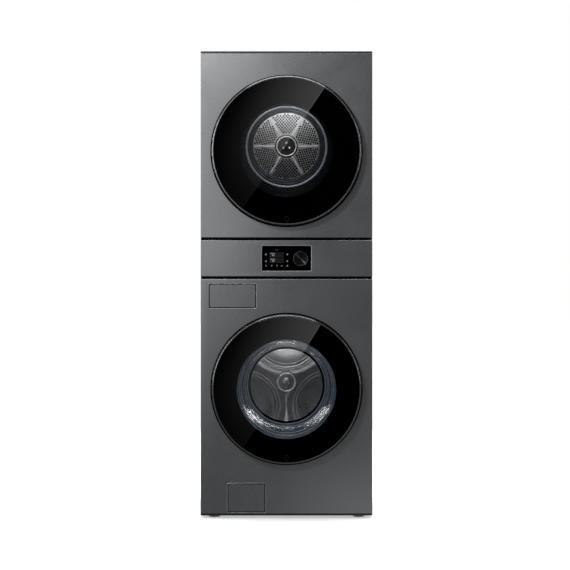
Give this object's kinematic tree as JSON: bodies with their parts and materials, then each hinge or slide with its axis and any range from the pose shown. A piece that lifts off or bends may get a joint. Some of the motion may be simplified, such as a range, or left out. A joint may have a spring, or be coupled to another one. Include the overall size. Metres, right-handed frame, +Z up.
{
  "type": "washer dryer stack",
  "caption": "Stacked laundry tower with a front-loading washing machine below, a tumble dryer above and one control band between; doors, drums, drawer, dial, hatch and filters move.",
  "frame": {"origin": "on the floor, under the middle of the tower's overall box", "axes": "+Z up, -Y out of the front with the doors, +X to the right as seen from the front"},
  "size_m": [0.686, 0.84, 1.865],
  "materials": {
    "front_steel": "satin dark grey with a fine brushed grain, fingerprint-resistant",
    "side_steel": "satin dark grey paint",
    "top_steel": "satin darker grey paint",
    "galvanised": "plain galvanised sheet",
    "door_trim": "dark polished chamfered ring",
    "door_glass": "black tinted tempered glass, glossy",
    "clear_glass": "thick moulded clear glass",
    "panel_glass": null,
    "black_plastic": "satin black moulding",
    "grey_plastic": "matte grey moulding",
    "white_plastic": "matte off-white moulding",
    "gasket_rubber": "soft matte grey",
    "black_rubber": "matte black",
    "drum_steel": "bright polished stainless",
    "alloy": "cast, dull",
    "copper": "enamelled copper winding",
    "dark_steel": "dark grey steel"
  },
  "bodies": {
    "cabinet": {"base_pan": "galvanised", "side_panel_left": "side_steel", "side_panel_right": "side_steel", "rear_cover": "galvanised", "top_panel": "top_steel", "mid_deck": "galvanised", "washer_front_panel": "front_steel", "dryer_front_panel": "front_steel", "control_fascia": "front_steel", "control_glass": "panel_glass", "control_module": "black_plastic", "washer_gasket": "gasket_rubber", "dispenser_housing": "white_plastic", "drain_pump": "grey_plastic", "washer_door_hinge_bracket": "alloy", "dryer_door_hinge_bracket": "alloy", "washer_door_lock": "black_plastic", "dryer_door_lock": "black_plastic", "inlet_valve": "white_plastic", "damper_cylinder_left": "black_plastic", "damper_cylinder_right": "black_plastic", "suspension_spring_left": "dark_steel", "suspension_spring_right": "dark_steel", "dryer_front_bulkhead": "grey_plastic", "rear_air_duct": "galvanised", "dryer_motor": "dark_steel", "drum_belt": "black_rubber"},
    "foot_front_left": {"levelling_foot_front_left": "black_rubber"},
    "foot_front_right": {"levelling_foot_front_right": "black_rubber"},
    "foot_rear_left": {"levelling_foot_rear_left": "black_rubber"},
    "foot_rear_right": {"levelling_foot_rear_right": "black_rubber"},
    "dial": {"control_dial": "black_plastic"},
    "detergent_drawer": {"drawer_front": "front_steel", "drawer_tray": "white_plastic"},
    "hatch": {"filter_hatch": "front_steel"},
    "drain_filter": {"drain_filter": "grey_plastic"},
    "washer_door": {"washer_door_rim": "door_trim", "washer_door_glass": "door_glass", "washer_door_inner_frame": "black_plastic", "washer_door_bowl": "clear_glass"},
    "dryer_door": {"dryer_door_rim": "door_trim", "dryer_door_glass": "door_glass", "dryer_door_inner_frame": "black_plastic", "dryer_door_window": "clear_glass"},
    "tub": {"tub_front": "grey_plastic", "tub_rear": "grey_plastic", "motor_stator": "copper", "damper_rod_left": "galvanised", "damper_rod_right": "galvanised"},
    "washer_drum": {"washer_drum": "drum_steel", "drum_lifter_1": "grey_plastic", "drum_lifter_2": "grey_plastic", "drum_lifter_3": "grey_plastic", "drum_spider": "alloy", "motor_rotor": "dark_steel"},
    "dryer_drum": {"dryer_drum": "drum_steel"},
    "roller_left": {"drum_roller_left": "black_rubber"},
    "roller_right": {"drum_roller_right": "black_rubber"},
    "blower_shaft": {"blower_shaft": "alloy"},
    "lint_filter": {"lint_filter": "grey_plastic"}
  },
  "joints": [
    {"name": "washer_door_hinge", "type": "hinge", "parent": "cabinet", "child": "washer_door", "pos_m": [-0.28, -0.406, 0.516], "axis": [0, 0, -1], "range_deg": [0, 110]},
    {"name": "dryer_door_hinge", "type": "hinge", "parent": "cabinet", "child": "dryer_door", "pos_m": [-0.28, -0.406, 1.466], "axis": [0, 0, -1], "range_deg": [0, 110]},
    {"name": "drawer_slide", "type": "slide", "parent": "cabinet", "child": "detergent_drawer", "axis": [0, -1, 0], "range_m": [0, 0.2]},
    {"name": "filter_hatch_hinge", "type": "hinge", "parent": "cabinet", "child": "hatch", "pos_m": [-0.16, -0.38, 0.0238], "axis": [1, 0, 0], "range_deg": [0, 90]},
    {"name": "drain_filter_twist", "type": "hinge", "parent": "cabinet", "child": "drain_filter", "pos_m": [-0.16, -0.345, 0.08], "axis": [0, 1, 0], "range_deg": [0, 90]},
    {"name": "dial_turn", "type": "hinge", "parent": "cabinet", "child": "dial", "pos_m": [0.056, -0.38, 1.036], "axis": [0, 1, 0], "continuous": true},
    {"name": "foot_front_left_turn", "type": "hinge", "parent": "cabinet", "child": "foot_front_left", "pos_m": [-0.29, -0.31, 0], "axis": [0, 0, 1], "continuous": true},
    {"name": "foot_front_right_turn", "type": "hinge", "parent": "cabinet", "child": "foot_front_right", "pos_m": [0.29, -0.31, 0], "axis": [0, 0, 1], "continuous": true},
    {"name": "foot_rear_left_turn", "type": "hinge", "parent": "cabinet", "child": "foot_rear_left", "pos_m": [-0.29, 0.33, 0], "axis": [0, 0, 1], "continuous": true},
    {"name": "foot_rear_right_turn", "type": "hinge", "parent": "cabinet", "child": "foot_rear_right", "pos_m": [0.29, 0.33, 0], "axis": [0, 0, 1], "continuous": true},
    {"name": "tub_bounce", "type": "slide", "parent": "cabinet", "child": "tub", "axis": [0, 0, 1], "range_m": [-0.008, 0.008], "stiffness_N_per_m": 29000, "springref_m": 0.00868, "deforming": ["washer_gasket", "suspension_spring_left", "suspension_spring_right"]},
    {"name": "washer_drum_spin", "type": "hinge", "parent": "tub", "child": "washer_drum", "pos_m": [0, -0.38, 0.516], "axis": [0, 1, 0], "continuous": true},
    {"name": "dryer_drum_spin", "type": "hinge", "parent": "cabinet", "child": "dryer_drum", "pos_m": [0, -0.38, 1.525], "axis": [0, 1, 0], "continuous": true},
    {"name": "roller_left_spin", "type": "hinge", "parent": "cabinet", "child": "roller_left", "pos_m": [-0.18136, -0.38, 1.26598], "axis": [0, 1, 0], "continuous": true},
    {"name": "roller_right_spin", "type": "hinge", "parent": "cabinet", "child": "roller_right", "pos_m": [0.18136, -0.38, 1.26598], "axis": [0, 1, 0], "continuous": true},
    {"name": "blower_spin", "type": "hinge", "parent": "cabinet", "child": "blower_shaft", "pos_m": [0.19, -0.38, 1.16], "axis": [0, 1, 0], "continuous": true},
    {"name": "lint_filter_lift", "type": "slide", "parent": "cabinet", "child": "lint_filter", "axis": [0, 0, 1], "range_m": [0, 0.16]}
  ],
  "couplings": [
    {"joint": "roller_left_spin", "follows": "dryer_drum_spin", "ratio": -11.6},
    {"joint": "roller_right_spin", "follows": "dryer_drum_spin", "ratio": -11.6},
    {"joint": "blower_spin", "follows": "dryer_drum_spin", "ratio": 20.714}
  ]
}
